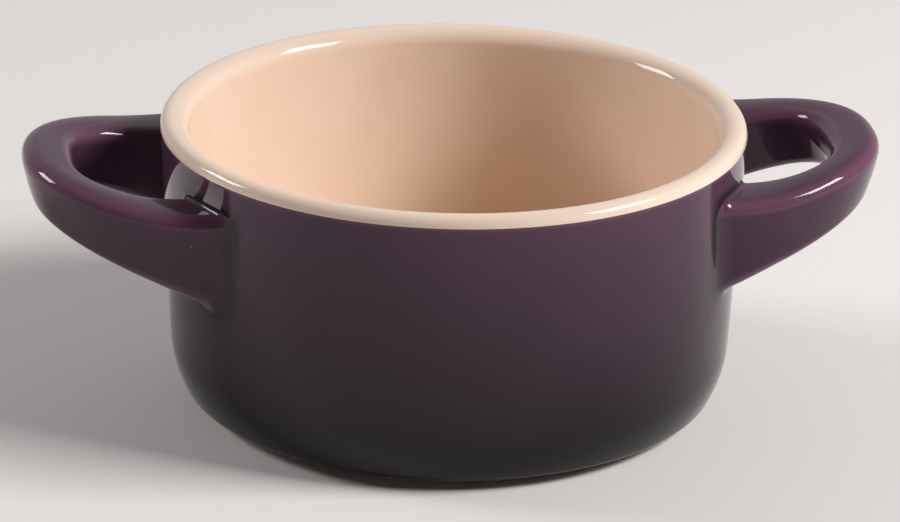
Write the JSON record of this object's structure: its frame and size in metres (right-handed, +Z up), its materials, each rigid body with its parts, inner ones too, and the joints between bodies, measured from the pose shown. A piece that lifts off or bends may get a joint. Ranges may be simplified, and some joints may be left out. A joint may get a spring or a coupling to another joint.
{
  "type": "condiment pot",
  "caption": "Small round stoneware pot with rising loop handles, plum glaze outside and pale glaze inside, open at the top, for sauces, dips and condiments at the table.",
  "frame": {"origin": "centre of the foot ring, on the table", "axes": "+Z up through the pot's mouth, +X along the line through both handles, +Y across it"},
  "size_m": [0.147, 0.1, 0.05],
  "materials": {
    "stoneware": "bare buff stoneware, matt and slightly gritty",
    "slip": "fired luting slip, matt",
    "pale_glaze": "glossy pale peach liner glaze",
    "plum_glaze": "glossy dark plum glaze"
  },
  "bodies": {
    "root": {"pot_body": "stoneware", "left_handle": "stoneware", "right_handle": "stoneware", "left_front_slip": "slip", "left_rear_slip": "slip", "right_front_slip": "slip", "right_rear_slip": "slip", "inner_glaze": "pale_glaze", "outer_glaze": "plum_glaze", "left_handle_glaze": "plum_glaze", "right_handle_glaze": "plum_glaze"}
  },
  "joints": []
}
